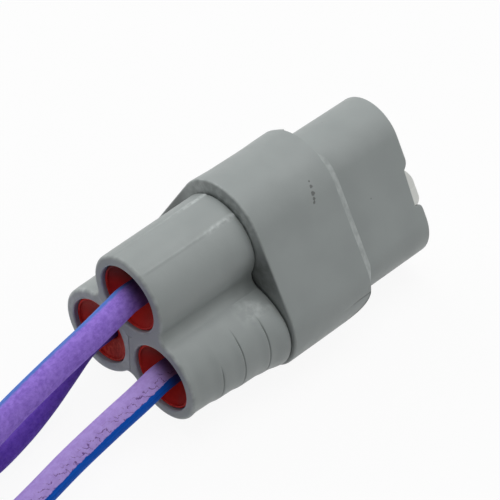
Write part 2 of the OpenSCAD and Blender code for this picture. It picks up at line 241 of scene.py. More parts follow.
def finishShader(tree, shader, colour, rough, normal):
    for key, value in (("Base Color", colour), ("Roughness", rough), ("Normal", normal)):
        tree.links.new(value, shader.inputs[key])


def screen(*rgb):  # 0 to 255 screen values as a scene colour
    c = np.array(rgb) / 255
    return (*np.where(c <= 0.04045, c / 12.92, ((c + 0.055) / 1.055) ** 2.4).tolist(), 1.0)


# Moulded plastic: slow tone drift, mould grain, a pale tone for rubbed edges, painted highlights and painted
# light (value over 0), a dark painted shade (value under 0) and specks;
# scales are in waves per metre, nicks are (x, y, z, size) in millimetres
mould = dict(driftScale=120.0, patchScale=900.0, speckScale=420.0, raggedScale=2600.0, fineScale=5200.0,
             wavyScale=520.0, rubbedAndHighlightShare=0.7, shadeShare=0.92, speckShare=0.75, speckReach=(0.03, 0.075),
             speckRare=(0.9, 0.91), nickShare=0.85, nickReach=(0.6, 1.3), raggedEdge=0.5)
# edge is the pale tone of rubbed edges, painted highlights and painted light; shadeColour is the dark painted
# shade
greyFinish = dict(mould, dark=screen(144, 150, 149), pale=screen(149, 155, 154), edge=screen(184, 190, 189),
                  speck=screen(78, 80, 79), shadeColour=screen(44, 44, 42), rough=(0.40, 0.56), grain=0.35,
                  nicks=[(4.92, -5.01, 23.41, 0.12), (4.82, -5.52, 22.91, 0.21), (4.62, -6.08, 22.22, 0.29),
                         (4.48, -6.45, 21.67, 0.19), (4.36, -6.66, 21.31, 0.2)])
whiteFinish = dict(mould, dark=screen(222, 224, 220), pale=screen(236, 237, 233), edge=screen(246, 246, 243),
                   speck=screen(190, 190, 184), shadeColour=screen(150, 150, 144), rough=(0.35, 0.5), grain=0.25,
                   nicks=[])


def mouldedPlastic(name, finish):  # tones mixed over each other from the drift up to the nicks
    material, tree, shader = newMaterial(name)
    where, wornAndPaintedLight = objectPoint(tree), wearAndPaintedLightOf(tree)
    drift = rangeOf(tree, noiseOf(tree, where, finish["driftScale"], 2.0), 0.35, 0.65)
    colour = mixColour(tree, drift, finish["dark"], finish["pale"])
    patchy = rangeOf(tree, noiseOf(tree, where, finish["patchScale"], 4.0), 0.3, 0.75)
    # rubbed edges, painted highlights and painted light in the pale edge tone
    rubbedAndHighlight = times(tree, positive(tree, wornAndPaintedLight), patchy, finish["rubbedAndHighlightShare"])
    colour = mixColour(tree, rubbedAndHighlight, colour, finish["edge"])
    # painted shade in the dark tone where the value is under 0
    shadeMix = times(tree, wornAndPaintedLight, -finish["shadeShare"], rangeOf(tree, patchy, 0.0, 1.0, 1.0, 0.75))
    colour = mixColour(tree, positive(tree, shadeMix), colour, finish["shadeColour"])
    cells = addNode(tree, "ShaderNodeTexVoronoi", Vector=where, Scale=finish["speckScale"]).outputs
    dot = rangeOf(tree, cells["Distance"], *finish["speckReach"], 1.0, 0.0)
    chance = addNode(tree, "ShaderNodeSeparateColor", Color=cells["Color"]).outputs[0]
    specks = times(tree, dot, rangeOf(tree, chance, *finish["speckRare"]), finish["speckShare"])
    colour = mixColour(tree, specks, colour, finish["speck"])
    ragged = mathOf(tree, "SUBTRACT", noiseOf(tree, where, finish["raggedScale"]), 0.5)
    ragged = times(tree, ragged, finish["raggedEdge"] * mm)
    for x, y, z, size in finish["nicks"]:  # dark nick where the distance to a point is small
        away = addNode(tree, "ShaderNodeVectorMath", dict(operation="DISTANCE"), _0=where,
                       _1=(x * mm, y * mm, z * mm)).outputs["Value"]
        low, high = (share * size * mm for share in finish["nickReach"])
        near = rangeOf(tree, mathOf(tree, "ADD", away, ragged), low, high, finish["nickShare"], 0.0)
        colour = mixColour(tree, near, colour, finish["speck"])
    fine = noiseOf(tree, where, finish["fineScale"], 4.0, 0.6)
    wavy = noiseOf(tree, where, finish["wavyScale"], 2.0)
    rough = rangeOf(tree, times(tree, mathOf(tree, "ADD", fine, wavy), 0.5), 0.3, 0.7, *finish["rough"])
    normal = bumpOf(tree, fine, finish["grain"], 0.02, bumpOf(tree, wavy, 0.25, 0.06))
    finishShader(tree, shader, colour, rough, normal)
    return material


# Silicone rubber: deep red, painted shade where the value is under 0, a dusty bloom that grows into a painted
# highlight on the bead and painted light where the value is over 0, and a soft ripple
rubberFinish = dict(deep=screen(182, 30, 24), bright=screen(206, 43, 34), bloomAndHighlight=screen(222, 78, 60),
                    shadeColour=screen(86, 26, 26), gloss=0.05, rough=(0.36, 0.5), highlightShare=0.4, bloomLeast=0.04,
                    toneScale=260.0, dustScale=2100.0, fineScale=3800.0, rippleScale=700.0)


def siliconeRubber(name, finish):
    material, tree, shader = newMaterial(name)
    where, wornAndPaintedLight = objectPoint(tree), wearAndPaintedLightOf(tree)
    tone = rangeOf(tree, noiseOf(tree, where, finish["toneScale"]), 0.35, 0.65)
    colour = mixColour(tree, tone, finish["deep"], finish["bright"])
    # painted shade where the value is under 0
    colour = mixColour(tree, positive(tree, times(tree, wornAndPaintedLight, -1.0)), colour, finish["shadeColour"])
    dustAndPaintedLight = rangeOf(tree, noiseOf(tree, where, finish["dustScale"], 4.0), 0.4, 0.7)
    # painted highlight on the bead and painted light where the value is over 0, over a dusty bloom
    rubbedAndHighlight = times(tree, positive(tree, wornAndPaintedLight), finish["highlightShare"])
    bloomAndHighlight = times(tree, mathOf(tree, "ADD", rubbedAndHighlight, finish["bloomLeast"]), dustAndPaintedLight)
    colour = mixColour(tree, bloomAndHighlight, colour, finish["bloomAndHighlight"])
    fine = noiseOf(tree, where, finish["fineScale"])
    ripple = bumpOf(tree, noiseOf(tree, where, finish["rippleScale"], 2.0), 0.3, 0.05)
    finishShader(tree, shader, colour, rangeOf(tree, fine, 0.3, 0.7, *finish["rough"]),
                 bumpOf(tree, fine, 0.2, 0.015, ripple))
    shader.inputs["Specular IOR Level"].default_value = finish["gloss"]
    return material


# Insulation: coloured jacket with a blue stripe at u = 0.5, faint draw lines, dark handling ticks, and
# painted shade where the lead goes into its seal; u runs once around and v in girths along the lead
blueTones = dict(blueDeep=screen(0, 82, 188), bluePale=screen(4, 94, 204), stripe=0.21, soft=0.004,
                 wander=0.05, toneScale=1500.0, fineScale=4200.0, drawnScale=(46.0, 2.2, 1.0), drawnShare=0.3,
                 tickPitch=7.5, tickLean=-11.0, tickBend=2.2, tickHalf=(0.04, 0.13), tickFrom=(0.53, 0.58),
                 tickTo=(0.68, 0.76), tickGaps=(0.39, 0.52), rough=(0.52, 0.66), gloss=0.1,
                 shade=screen(36, 20, 44), paintedShadeReach=(1.08, 1.34), paintedShadeShare=0.8)
paleBlue = dict(blueTones, blueDeep=screen(70, 114, 200), bluePale=screen(92, 130, 212), soft=0.03)


def stripedJacket(name, finish):
    material, tree, shader = newMaterial(name)
    wrap = addNode(tree, "ShaderNodeUVMap", dict(uv_map="wrap")).outputs[0]
    where = objectPoint(tree)
    around, along = addNode(tree, "ShaderNodeSeparateXYZ", Vector=wrap).outputs[:2]
    tone = rangeOf(tree, noiseOf(tree, where, finish["toneScale"], 4.0, 0.65), 0.3, 0.7)
    colour = mixColour(tree, tone, finish["deep"], finish["pale"])
    lines = addNode(tree, "ShaderNodeMapping", Vector=wrap, Scale=finish["drawnScale"]).outputs[0]
    drawn = rangeOf(tree, noiseOf(tree, lines, 1.0), 0.35, 0.7)
    colour = mixColour(tree, times(tree, drawn, finish["drawnShare"]), colour, finish["pale"])
    lean = times(tree, around, finish["tickLean"])
    bend = times(tree, noiseOf(tree, wrap, 15.0, 2.0), finish["tickBend"])
    rows = mathOf(tree, "ADD", times(tree, along, finish["tickPitch"]), mathOf(tree, "ADD", lean, bend))
    away = mathOf(tree, "ABSOLUTE", mathOf(tree, "SUBTRACT", mathOf(tree, "FRACT", rows), 0.5))
    broken = rangeOf(tree, noiseOf(tree, wrap, 17.0, 2.0), *finish["tickGaps"])
    band = times(tree, rangeOf(tree, around, *finish["tickFrom"]),
                 rangeOf(tree, around, *finish["tickTo"], 1.0, 0.0))
    near = rangeOf(tree, away, *finish["tickHalf"], 1.0, 0.0)
    ticks = times(tree, near, times(tree, broken, band), finish["ticks"])
    colour = mixColour(tree, ticks, colour, finish["tick"])
    wander = times(tree, mathOf(tree, "SUBTRACT", noiseOf(tree, wrap, 14.0), 0.5), finish["wander"])
    off = mathOf(tree, "ABSOLUTE", mathOf(tree, "ADD", mathOf(tree, "SUBTRACT", around, 0.5), wander))
    half, soft = finish["stripe"] / 2, finish["soft"]
    stripe = rangeOf(tree, off, half - soft, half + soft, 1.0, 0.0)
    colour = mixColour(tree, stripe, colour, mixColour(tree, drawn, finish["blueDeep"], finish["bluePale"]))
    paintedShading = rangeOf(tree, along, *finish["paintedShadeReach"], finish["paintedShadeShare"], 0.0)
    colour = mixColour(tree, paintedShading, colour, finish["shade"])
    fine = noiseOf(tree, where, finish["fineScale"])
    height = mathOf(tree, "SUBTRACT", mathOf(tree, "ADD", times(tree, drawn, 0.5), fine), ticks)
    finishShader(tree, shader, colour, rangeOf(tree, fine, 0.3, 0.7, *finish["rough"]),
                 bumpOf(tree, height, 0.25, 0.03))
    shader.inputs["Specular IOR Level"].default_value = finish["gloss"]
    return material


# Plated, drawn or bare metal: bright tone, dull tone and roughness
metalFinishes = dict(contact=(screen(205, 199, 186), screen(178, 170, 154), 0.24),
                     sleeve=(screen(206, 208, 210), screen(180, 183, 186), 0.3),
                     copper=(screen(214, 140, 98), screen(168, 96, 62), 0.34))
metalMarks = dict(tarnishScale=900.0, turnedScale=(9000.0, 300.0, 300.0), smoother=0.06, rougher=0.08)


def bareMetal(name, finish, marks):
    material, tree, shader = newMaterial(name)
    where = objectPoint(tree)
    bright, dull, rough = finish
    tarnish = rangeOf(tree, noiseOf(tree, where, marks["tarnishScale"], 4.0), 0.35, 0.7)
    turned = addNode(tree, "ShaderNodeMapping", Vector=where, Scale=marks["turnedScale"]).outputs[0]
    lines = noiseOf(tree, turned, 1.0)
    finishShader(tree, shader, mixColour(tree, tarnish, bright, dull),
                 rangeOf(tree, lines, 0.3, 0.7, rough - marks["smoother"], rough + marks["rougher"]),
                 bumpOf(tree, lines, 0.15, 0.01))
    shader.inputs["Metallic"].default_value = 1.0
    return material


greyPlastic = mouldedPlastic("greyPlastic", greyFinish)
whitePlastic = mouldedPlastic("whitePlastic", whiteFinish)
redRubber = siliconeRubber("redRubber", rubberFinish)
metals = {key: bareMetal(key + "Metal", value, metalMarks) for key, value in metalFinishes.items()}
print("materials made")

# Leads: the routes of the solids, each straight through its seal and then loose on the floor
leadFacts = dict(radius=1.75, swell=0.05, swellReach=(-18.5, -20.5), sides=48, spanSteps=14, coreRadius=1.0,
                 strandRings=((6, 0.40, 0.0), (12, 0.78, 15.0)), strandRadius=0.19, domeHeight=0.16,
                 domeSink=0.10, collar=1.12, roundEdge=0.12, nearShare=0.9, nearEnd=-7.5, middle=-15.05,
                 pathPoints=40)
leads = [
    dict(name="wire_1", contact=(0.0, 17.1), seal=-20.8, stripeAt=146.0,
         finish=dict(paleBlue, deep=screen(137, 104, 207), pale=screen(166, 133, 234),
                     tick=screen(104, 76, 160), ticks=0.25),
         free=[[-23.2, -0.1, 16.6], [-27, -0.2, 15.5], [-33, 0, 13.5], [-40, -0.1, 11.4], [-47, -0.5, 9.1],
               [-54, -0.9, 6.8], [-61, -1.4, 4.6], [-68, -1.9, 2.9], [-75, -2.3, 2], [-82, -2.6, 1.8],
               [-90, -2.9, 1.8], [-98, -2.9, 1.8], [-106, -2.7, 1.8], [-113, -2.4, 1.8], [-119, -2, 1.8]]),
    dict(name="wire_2", contact=(-5.629, 7.35), seal=-20.8, stripeAt=-6.0,
         finish=dict(blueTones, deep=screen(176, 148, 222), pale=screen(194, 168, 238),
                     tick=screen(112, 76, 146), ticks=0.9),
         free=[[-25, -5.9, 6.7], [-30, -5.87, 5.5], [-36, -5.93, 4], [-42, -6.4, 2.7], [-48, -7.1, 2],
               [-55, -8.1, 1.8], [-63, -9, 1.8], [-71, -9.8, 1.8], [-79, -10.4, 1.8], [-87, -10.7, 1.8],
               [-95, -10.7, 1.8], [-103, -10.4, 1.8], [-111, -9.8, 1.8], [-119.5, -8.9, 1.8]]),
    dict(name="wire_3", contact=(5.629, 7.35), seal=-21.0, stripeAt=-62.0,
         finish=dict(blueTones, deep=screen(92, 60, 168), pale=screen(114, 80, 190),
                     tick=screen(84, 56, 136), ticks=0.25),
         free=[[-24, 5.7, 6.6], [-28, 5.3, 4.3], [-32, 4.55, 2.7], [-37, 3.35, 2], [-43, 2.25, 1.8],
               [-50, 1.9, 1.8], [-58, 2.3, 1.8], [-66, 3.6, 1.8], [-74, 4.9, 1.8], [-82, 6.3, 1.8],
               [-90, 7.6, 1.8], [-98, 8.6, 1.8], [-106, 9.2, 1.8], [-113, 9.4, 1.8], [-119, 9.4, 1.8]]),
]


def smoothRoute(route, steps):  # Catmull-Rom curve through the route's points
    ends = np.concatenate([[2 * route[0] - route[1]], route, [2 * route[-1] - route[-2]]])
    a, b, c, d = (ends[k:len(ends) - 3 + k, None] for k in range(4))
    t = (np.arange(steps) / steps)[None, :, None]
    square, cube = 2 * a - 5 * b + 4 * c - d, 3 * b - a - 3 * c + d
    curve = 0.5 * (2 * b + (c - a) * t + square * t ** 2 + cube * t ** 3)
    return np.concatenate([curve.reshape(-1, 3), route[-1:]])


def strandEnd(facts, rows=22):  # cut bundle of strands over a disc: a dome on each strand, the nearest wins
    rings = [polar(radius, np.arange(count) * 360.0 / count + turn)
             for count, radius, turn in facts["strandRings"]]
    strands = np.concatenate([[[0, 0]], *rings])
    radius = np.linspace(facts["coreRadius"], 0, rows)[:, None]
    spot = polar(radius, 360.0 * np.arange(facts["sides"]) / facts["sides"])
    away = np.linalg.norm(spot[:, :, None] - strands, axis=-1).min(axis=-1) / facts["strandRadius"]
    return radius, facts["domeHeight"] * np.sqrt(np.clip(1 - away ** 2, 0, 1)) - facts["domeSink"]


def makeLead(lead, facts):  # circle of the lead's radius carried along its route, with a cut end
    y, z = lead["contact"]
    columns, edge = facts["sides"], facts["roundEdge"]
    start = [[facts["nearEnd"], y, z], [facts["middle"], y, z], [lead["seal"], y, z]]
    curve = smoothRoute(np.array(start + lead["free"], float), facts["spanSteps"])
    run = np.concatenate([[0], np.cumsum(np.linalg.norm(np.diff(curve, axis=0), axis=1))])
    along = np.gradient(curve, axis=0)
    along /= np.linalg.norm(along, axis=1, keepdims=True)
    side = np.cross([0, 0, 1], along)
    side /= np.linalg.norm(side, axis=1, keepdims=True)
    rise = np.cross(along, side)
    turn = np.radians(360 * (np.arange(columns) / columns - 0.5) + lead["stripeAt"])[None, :, None]
    spokes = np.cos(turn) * side[:, None] + np.sin(turn) * rise[:, None]
    girth = facts["radius"] + facts["swell"] * smoothStep(*facts["swellReach"], curve[:, 0])
    tube, radius = curve[:, None] + girth[:, None, None] * spokes, girth[-1]
    tube[-1] -= edge * along[-1]
    inset, drop = roundSteps(edge, 5)[::-1].T[:, :, None, None]
    rounded = curve[-1] + (radius - inset) * spokes[-1] - drop * along[-1]
    reach, dome = strandEnd(facts)
    core = curve[-1] + reach[..., None] * spokes[-1] + dome[..., None] * along[-1]
    face = curve[-1] + np.array([facts["collar"], 1.0])[:, None, None] * facts["coreRadius"] * spokes[-1]
    near = curve[0] + np.array([0, facts["nearShare"] * facts["radius"]])[:, None, None] * spokes[0]
    rings = np.concatenate([near, tube, rounded, face, core])
    height = np.concatenate([[0, 0], run, np.full(len(rings) - len(run) - 2, run[-1])])
    faces = gridFaces(len(rings), columns)
    name = lead["name"] + "_lead"
    mesh = bpy.data.meshes.new(name)
    mesh.from_pydata((rings.reshape(-1, 3) * mm).tolist(), [], faces.tolist())
    column, row = faces % columns, faces // columns
    seam = (np.ptp(column, axis=1, keepdims=True) > 1) & (column == 0)
    wrap = np.stack([np.where(seam, columns, column) / columns, height[row] / (2 * np.pi * radius)], axis=-1)
    mesh.uv_layers.new(name="wrap").data.foreach_set("uv", wrap.astype(np.float32).ravel())
    bare = np.repeat(np.arange(len(rings) - 1) >= len(rings) - len(core) - 1, columns)
    mesh.materials.append(stripedJacket(lead["name"] + "_jacket", lead["finish"]))
    mesh.materials.append(metals["copper"])
    mesh.polygons.foreach_set("material_index", bare.astype(np.int32))
    piece = dressNode(name, mesh, lead["name"], 50.0, merge=1e-7)
    print(f"{name}: {run[-1]:.1f} mm long")


for lead in leads:
    makeLead(lead, leadFacts)


def trefoilFacts(tubeRadius, valleyRadius):  # distance of a valley's centre, and its slope to a tube's
    pitch = plug["contactOffset"] * sin60
    reach = math.sqrt((tubeRadius + valleyRadius) ** 2 - pitch ** 2)
    return plug["contactOffset"] / 2 + reach, math.atan2(reach, pitch)


def trefoilColumns(lobe, tubeRadius, valleyRadius, halfSteps, tubeSteps):
    # one lobe of three joined tubes, from valley to valley: centre, radius and direction of each column
    valley, lean = trefoilFacts(tubeRadius, valleyRadius)
    lean = math.degrees(lean)
    before = lobe + 120 - np.linspace(0, 90 - lean, halfSteps + 1)
    tube = lobe + np.linspace(lean - 150, 150 - lean, tubeSteps + 1)
    after = lobe + 240 + np.linspace(90 - lean, 0, halfSteps + 1)
    place = np.repeat([0, 1, 2], [len(before), len(tube), len(after)])  # valley, tube, valley
    onTube = place == 1
    contact = polar(plug["contactOffset"], lobe)
    centres = np.stack([polar(valley, lobe - 60), contact, polar(valley, lobe + 60)])
    turn = np.concatenate([before, tube, after])
    return dict(centre=centres[place], radius=np.where(onTube, tubeRadius, valleyRadius),
                sense=np.where(onTube, -1.0, 1.0), way=polar(1.0, turn),
                turn=np.where(onTube, turn - lobe, 180.0))


def trefoilAt(columns, inset):  # centre plus direction times the radius, which the inset changes
    reach = columns["radius"] + columns["sense"] * np.asarray(inset, float)
    return columns["centre"] + reach[..., None] * columns["way"]


def lobeLoop(outline, inner, contact, lineSteps=10):
    # loop around one contact: the outline, in along a line, along the inner path, out along a line
    fall = np.linspace(0, 1, lineSteps + 1)[1:, None]
    inward = outline[-1] + fall * (inner[0] - outline[-1])
    outward = outline[0] + (1 - fall) * (inner[-1] - outline[0])
    loop = np.concatenate([outline, inward, inner[1:], outward[:-1]])
    spokes = loop - contact
    return loop, spokes / np.linalg.norm(spokes, axis=1, keepdims=True)


# Rear cap: three joined tubes with rounded ends, grip lines on the lower two, a parting line and two faint
# seams; a form fades in from the first to the second of a pair, of angles from a tube's crest or of stations
rearCap = dict(length=15.72, tubeRadius=6.1, valleyRadius=1.5, rearRound=0.5, shoulderRound=0.2,
               boreRadius=4.7, boreRound=0.25, boreFloor=12.5, holeRadius=1.8, partingDepth=0.35,
               spigotStep=0.9, spigotBevel=0.1, spigotEnd=19.2, faceStops=(0, 0.05, 0.12, 0.5, 0.85),
               rowPitch=0.35,
               gripStations=(5.1, 8.55, 12.57), gripHalfWidth=0.16, gripDepth=0.13, gripShade=0.45,
               gripReach=((60.0, 40.0), (92.0, 62.0), (92.0, 62.0)),
               flareRise=0.18, flareLead=1.4, flarePast=0.1, flareSlope=0.03, flareFrom=2.0,
               flareStart=(0.0, -0.13, 0.1), flareReach=(107.0, 50.0), lastRise=0.42, lastPast=0.3,
               lastReach=(75.0, 30.0), topSlope=0.02, topReach=(107.0, 70.0),
               seamTurn=24.0, seamHalf=2.4, seamHeight=0.07, seamAlong=(1.5, 12.0),
               streakHalf=4.0, streakCore=1.2, streakHighlight=2.6, streakAlong=(9.0, 13.0),
               paleTurn=116.0, paleSlope=11.2, paleFrom=12.4, paleSoft=(4.0, -6.0), paleReach=(68.0, 86.0),
               paleAlong=(9.5, 12.5), palePaintedLight=0.9, endPaintedLight=0.8, endAlong=(0.9, 0.2),
               rearLean=0.32, leanOuter=(4.5, 9.5), leanAlong=(3.0, 0.0), paintedShadeAlong=(10.5, 15.0),
               paintedShadeReach=((70.0, 112.0), (178.0, 180.0), (178.0, 180.0)), paintedShadeShares=(0.5, 0.8, 0.1),
               bodyAlong=(0.0, 1.5), halfSteps=10, tubeSteps=160)


def gripFlare(along, turn, cap, index):  # swell of a lower tube: slope, a step before each line, a last rise
    lines, lead, past = take(cap, "gripStations flareLead flarePast")
    steps = sum(smoothStep(line - lead, line + past, along) for line in lines)
    slope = cap["flareStart"][index] + cap["flareSlope"] * (along - cap["flareFrom"])
    swell = slope + cap["flareRise"] * steps
    last = cap["lastRise"] * smoothStep(lines[-1] + cap["lastPast"], cap["length"], along)
    return swell * smoothStep(*cap["flareReach"], turn) + last * smoothStep(*cap["lastReach"], turn)


def leaned(flat, along, cap):  # stations of the rear end, further back on the outside of the third tube
    outer = smoothStep(*cap["leanOuter"], flat @ polar(1.0, plug["lobes"][2]))
    return along - cap["rearLean"] * outer * smoothStep(*cap["leanAlong"], along)


def capRows(cap):  # rows from the rear face to the spigot's end: inset, station, and rubbed edges with a painted highlight
    rear, shoulder = roundSteps(cap["rearRound"], 9), roundSteps(cap["shoulderRound"])[::-1]
    half, step, bevel, end = take(cap, "gripHalfWidth spigotStep spigotBevel length")
    grips = np.array(cap["gripStations"])[:, None] + np.linspace(-half, half, 9)
    straight = np.concatenate([grips.ravel(), np.arange(1.0, end - 0.6, cap["rowPitch"])])
    straight = np.unique(np.round(straight, 4))
    straight = straight[(straight > cap["rearRound"]) & (straight < end - cap["shoulderRound"])]
    inset = np.concatenate([rear[:, 0], 0 * straight, shoulder[:, 0], [step - bevel, step, step]])
    along = np.concatenate([rear[:, 1], straight, end - shoulder[:, 1], [end, end + bevel, cap["spigotEnd"]]])
    rubbedAndHighlight = np.concatenate([halfWave(len(rear)), 0 * straight, halfWave(len(shoulder)), np.zeros(3)])
    return inset[:, None], along[:, None], rubbedAndHighlight[:, None]


def tubeSkin(index, turn, cap):  # inset, station, and wear with painted light and shade over one tube, rows along it and columns around it
    inset, along, rubbedAndHighlight = capRows(cap)
    sunk, wornAndPaintedLight, grooveShade = inset + 0 * turn, rubbedAndHighlight + 0 * turn, 0 * rubbedAndHighlight * turn
    body = (inset < cap["spigotStep"] - 2 * cap["spigotBevel"]) * smoothStep(*cap["bodyAlong"], along)
    if index == 0:  # top tube: a slow widening to the front, low seams, and a painted highlight streak along the seams near the front
        aside = np.abs(turn - cap["seamTurn"])
        seam = np.clip(1 - aside / cap["seamHalf"], 0, 1) * body
        sunk -= cap["seamHeight"] * seam + cap["topSlope"] * body * along * smoothStep(*cap["topReach"], turn)
        streak = np.clip(cap["streakCore"] - aside / cap["streakHalf"], 0, 1) * body
        wornAndPaintedLight = np.maximum(wornAndPaintedLight, seam * smoothStep(*cap["seamAlong"], along))
        wornAndPaintedLight = np.maximum(wornAndPaintedLight, cap["streakHighlight"] * streak * smoothStep(*cap["streakAlong"], along))
    else:  # grip lines: a cosine groove with painted shade in it that fades out at its ends, on a flank that swells to the front
        for line, reach in zip(cap["gripStations"], cap["gripReach"]):
            near = np.clip(np.abs(along - line) / cap["gripHalfWidth"], 0, 1)
            groove = (0.5 + 0.5 * np.cos(np.pi * near)) * smoothStep(*reach, turn)
            sunk += cap["gripDepth"] * groove
            grooveShade += cap["gripShade"] * groove
        sunk -= gripFlare(along, turn, cap, index) * body
        bound = cap["paleTurn"] - cap["paleSlope"] * np.clip(along - cap["paleFrom"], 0, 4)
        low, high = (bound + soft for soft in cap["paleSoft"])  # painted light up to a line near the valley
        pale = smoothStep(low, high, turn) * smoothStep(*cap["paleReach"], turn)
        pale = pale * smoothStep(*cap["paleAlong"], along)
        wornAndPaintedLight = np.maximum(wornAndPaintedLight, cap["palePaintedLight"] * pale * body)
    # painted light on the third tube near its rear end
    if index == 2:
        wornAndPaintedLight = wornAndPaintedLight + cap["endPaintedLight"] * smoothStep(*cap["endAlong"], along)
    # painted shade towards the shroud, in the valleys and down the top tube's sides
    paintedShading = smoothStep(*cap["paintedShadeAlong"], along) * smoothStep(*cap["paintedShadeReach"][index], turn)
    plain, cover, film = cap["paintedShadeShares"]  # painted shade on plain places, over rubbed and lit ones, and on all
    wornAndPaintedLight = np.where(wornAndPaintedLight > 0, wornAndPaintedLight, -plain * paintedShading) * (1 - cover * paintedShading) - film * paintedShading
    return sunk, along, wornAndPaintedLight - grooveShade


def capBore(index, lobe, columns, cap):  # rear face, bore and front face around one contact
    contact, centre = polar(plug["contactOffset"], lobe), np.zeros((1, 2))
    backEdge, frontEdge = trefoilAt(columns, cap["rearRound"]), trefoilAt(columns, cap["spigotStep"])
    backLoop, backWay = lobeLoop(backEdge, centre, contact)
    frontLoop, frontWay = lobeLoop(frontEdge, centre, contact)
    mouth = roundSteps(cap["boreRound"], 6)
    face = between(backLoop, contact + (cap["boreRadius"] + cap["boreRound"]) * backWay, cap["faceStops"])
    onLine = (np.abs(backLoop[:, 0]) < 1e-6) & (backLoop[:, 1] < 1e-6)  # parting line between the lower bores
    onLine &= np.arange(len(backLoop)) >= len(backEdge)
    sink = cap["partingDepth"] * onLine * (np.array(cap["faceStops"]) == 0)[:, None]
    radius = np.concatenate([cap["boreRadius"] + mouth[:, 0], [cap["boreRadius"], cap["holeRadius"]]])
    along = np.concatenate([mouth[:, 1], [cap["boreFloor"]] * 2])[:, None]
    bore = contact + radius[:, None, None] * backWay
    front = between(contact + cap["holeRadius"] * frontWay, frontLoop)
    rows = np.concatenate([laid(face, leaned(face, sink, cap)), laid(bore, leaned(bore, along, cap)),
                           laid(front, cap["spigotEnd"])])
    wornAndPaintedLight = np.zeros((len(rows), 1))
    # painted light on the third tube's rear face; the bore's mouth is a rubbed edge with a painted highlight
    wornAndPaintedLight[:len(face)] = cap["endPaintedLight"] * (index == 2)
    wornAndPaintedLight[len(face):len(face) + len(mouth), 0] = np.sin(np.linspace(0.3, np.pi, len(mouth)))
    return gridPatch(rows, wornAndPaintedLight)


def makeRearCap(cap):  # for each lobe, its skin carried from the rear face to the spigot, and its bore
    patches = []
    for index, lobe in enumerate(plug["lobes"]):
        columns = trefoilColumns(lobe, *take(cap, "tubeRadius valleyRadius halfSteps tubeSteps"))
        sunk, along, wornAndPaintedLight = tubeSkin(index, np.abs(columns["turn"]), cap)
        skin = trefoilAt(columns, sunk)
        patches.append(gridPatch(laid(skin, leaned(skin, along, cap)), wornAndPaintedLight, closeColumns=False))
        patches.append(capBore(index, lobe, columns, cap))
    newPiece("rearCap", patches, greyPlastic, "rear_cap")


makeRearCap(rearCap)


def triangleColumns(stations, arcSteps):
    # three lobes of a round-cornered triangle, each from the middle of a side to the middle of the next;
    # stations run from 0 at the middle of a side to 1 at the corner
    slide = 1 - np.asarray(stations)
    arc = np.linspace(-60, 60, arcSteps + 1)
    lobes = np.array(plug["lobes"])[:, None]
    turn = np.concatenate([np.full(len(slide), -60.0), arc, np.full(len(slide), 60.0)])
    share = np.concatenate([slide, np.zeros(len(arc)), slide[::-1]])
    return dict(lobe=lobes + 0 * turn, turn=lobes + turn, share=np.tile(share, (3, 1)),
                side=lobes + np.where(turn < 0, -150.0, 150.0), local=np.tile(turn, (3, 1)))


def triangleAt(columns, offset, radius):
    # corner centre, plus the normal times the radius, plus a slide along the side, raised to the middle
    flat = polar(offset, columns["lobe"]) + polar(np.asarray(radius, float), columns["turn"])
    return flat + polar(offset * sin60 * columns["share"], columns["side"]) + shroudMiddle


def trefoilPolar(flat, tubeRadius, valleyRadius, inset):  # the trefoil in the direction of each point
    angle = np.degrees(np.arctan2(flat[..., 1], flat[..., 0]))
    theta = np.abs((angle - 90 + 60) % 120 - 60)  # away from the nearest lobe
    near, far = np.radians(theta), np.radians(60 - theta)
    offset = plug["contactOffset"]
    valley, lean = trefoilFacts(tubeRadius, valleyRadius)
    tube, dip = tubeRadius - inset, valleyRadius + inset
    onTube = offset * np.cos(near) + np.sqrt(np.clip(tube ** 2 - (offset * np.sin(near)) ** 2, 0, None))
    onValley = valley * np.cos(far) - np.sqrt(np.clip(dip ** 2 - (valley * np.sin(far)) ** 2, 0, None))
    bend = math.radians(150) - lean
    edge = math.degrees(math.atan2(tube * math.sin(bend), offset + tube * math.cos(bend)))
    return polar(np.where(theta < edge, onTube, onValley), angle)


